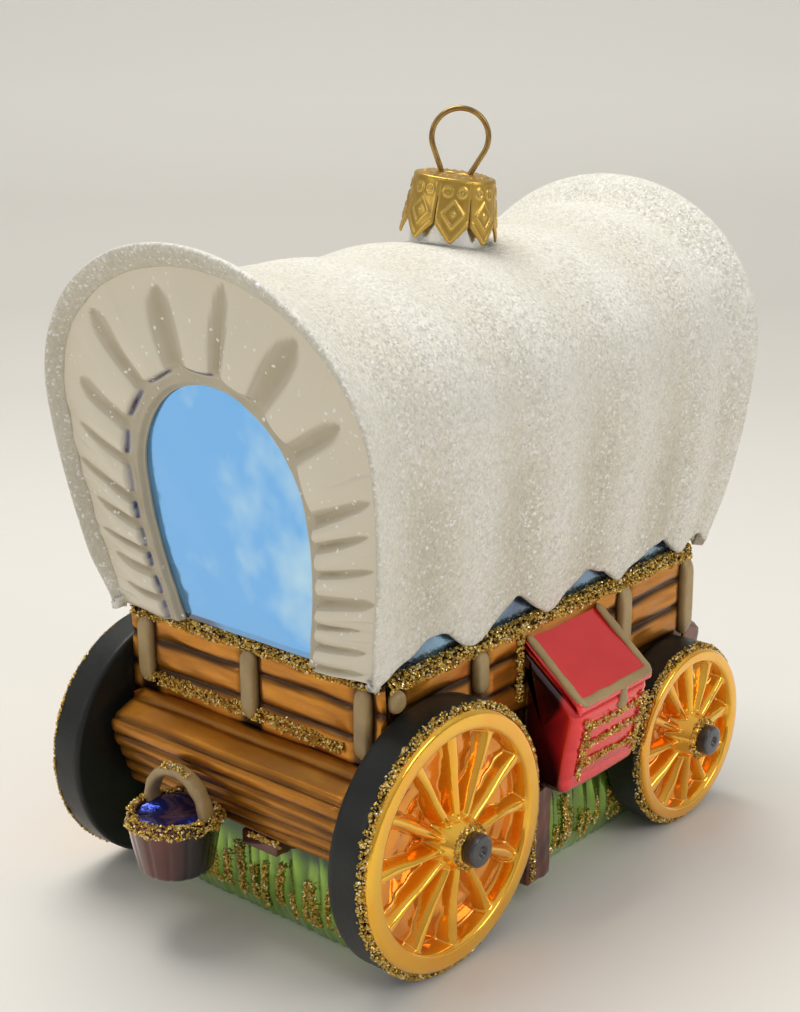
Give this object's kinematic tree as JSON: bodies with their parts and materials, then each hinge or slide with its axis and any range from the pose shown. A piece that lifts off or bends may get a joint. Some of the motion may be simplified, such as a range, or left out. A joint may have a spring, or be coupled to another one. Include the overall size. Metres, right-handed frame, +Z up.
{
  "type": "covered wagon christmas ornament",
  "caption": "Hanging glass ornament in the shape of a covered wagon, with a bowed cloth cover, spoked wheels, tool chests and a bucket, under a lift-off crown cap with a wire loop.",
  "frame": {"origin": "middle of the flat underside, on the surface that the ornament stands on", "axes": "+X the way the wagon faces, +Y its left side, +Z up"},
  "size_m": [0.1003, 0.0696, 0.1106],
  "materials": {
    "cover_white": "white paint under fine iridescent glitter",
    "cream_gathers": "satin cream paint with taupe in the folds",
    "sky_mirror": "silvered glass under clear sky-blue lacquer",
    "lining_mirror": "silvered glass under blue lacquer",
    "bare_glass": "silvered inside, unpainted",
    "tan_paint": "opaque tan paint",
    "brown_lacquer": "gloss brown lacquer, airbrushed darker in the grooves",
    "dark_brown": "opaque brown paint",
    "red_mirror": "silvered glass under clear red lacquer",
    "maroon_mirror": "silvered glass under maroon lacquer",
    "blue_mirror": "silvered glass under cobalt lacquer",
    "green_mirror": "silvered glass under green lacquer, with strokes of gold glitter",
    "black_paint": "satin charcoal paint",
    "orange_mirror": "silvered glass under clear orange lacquer",
    "gold_cap": "thin stamped sheet, gold-toned",
    "gold_wire": "sprung wire, gold-toned"
  },
  "bodies": {
    "glass": {"cover": "cover_white", "rear_gathers": "cream_gathers", "front_gathers": "cream_gathers", "rear_pane": "sky_mirror", "front_pane": "sky_mirror", "cover_lining": "lining_mirror", "glass_neck": "bare_glass", "side_boards_right": "brown_lacquer", "side_boards_left": "brown_lacquer", "side_posts_right": "tan_paint", "side_posts_left": "tan_paint", "tailgate": "brown_lacquer", "tailgate_posts": "tan_paint", "front_board": "brown_lacquer", "front_posts": "tan_paint", "feed_box": "brown_lacquer", "foot_box": "brown_lacquer", "tail_beam": "dark_brown", "chest_right": "red_mirror", "chest_left": "red_mirror", "chest_lid_right": "red_mirror", "chest_lid_left": "red_mirror", "chest_edging_right": "tan_paint", "chest_edging_left": "tan_paint", "bucket": "maroon_mirror", "bucket_water": "blue_mirror", "bucket_handle": "tan_paint", "brake_block_right": "dark_brown", "brake_block_left": "dark_brown", "grass_base": "green_mirror", "tyre_rear_right": "black_paint", "tyre_rear_left": "black_paint", "tyre_front_right": "black_paint", "tyre_front_left": "black_paint", "wheel_rear_right": "orange_mirror", "wheel_rear_left": "orange_mirror", "wheel_front_right": "orange_mirror", "wheel_front_left": "orange_mirror", "hub_cap_rear_right": "black_paint", "hub_cap_rear_left": "black_paint", "hub_cap_front_right": "black_paint", "hub_cap_front_left": "black_paint"},
    "cap": {"crown_cap": "gold_cap"},
    "hanger": {"hanger": "gold_wire"}
  },
  "joints": [
    {"name": "cap_lift", "type": "slide", "parent": "glass", "child": "cap", "axis": [0.08, -0.092, 0.9925], "range_m": [0, 0.016]},
    {"name": "hanger_tilt", "type": "hinge", "parent": "cap", "child": "hanger", "pos_m": [0.00611, -0.00093, 0.101], "axis": [0.6512, -0.7491, -0.1219], "range_deg": [-8, 8]}
  ]
}
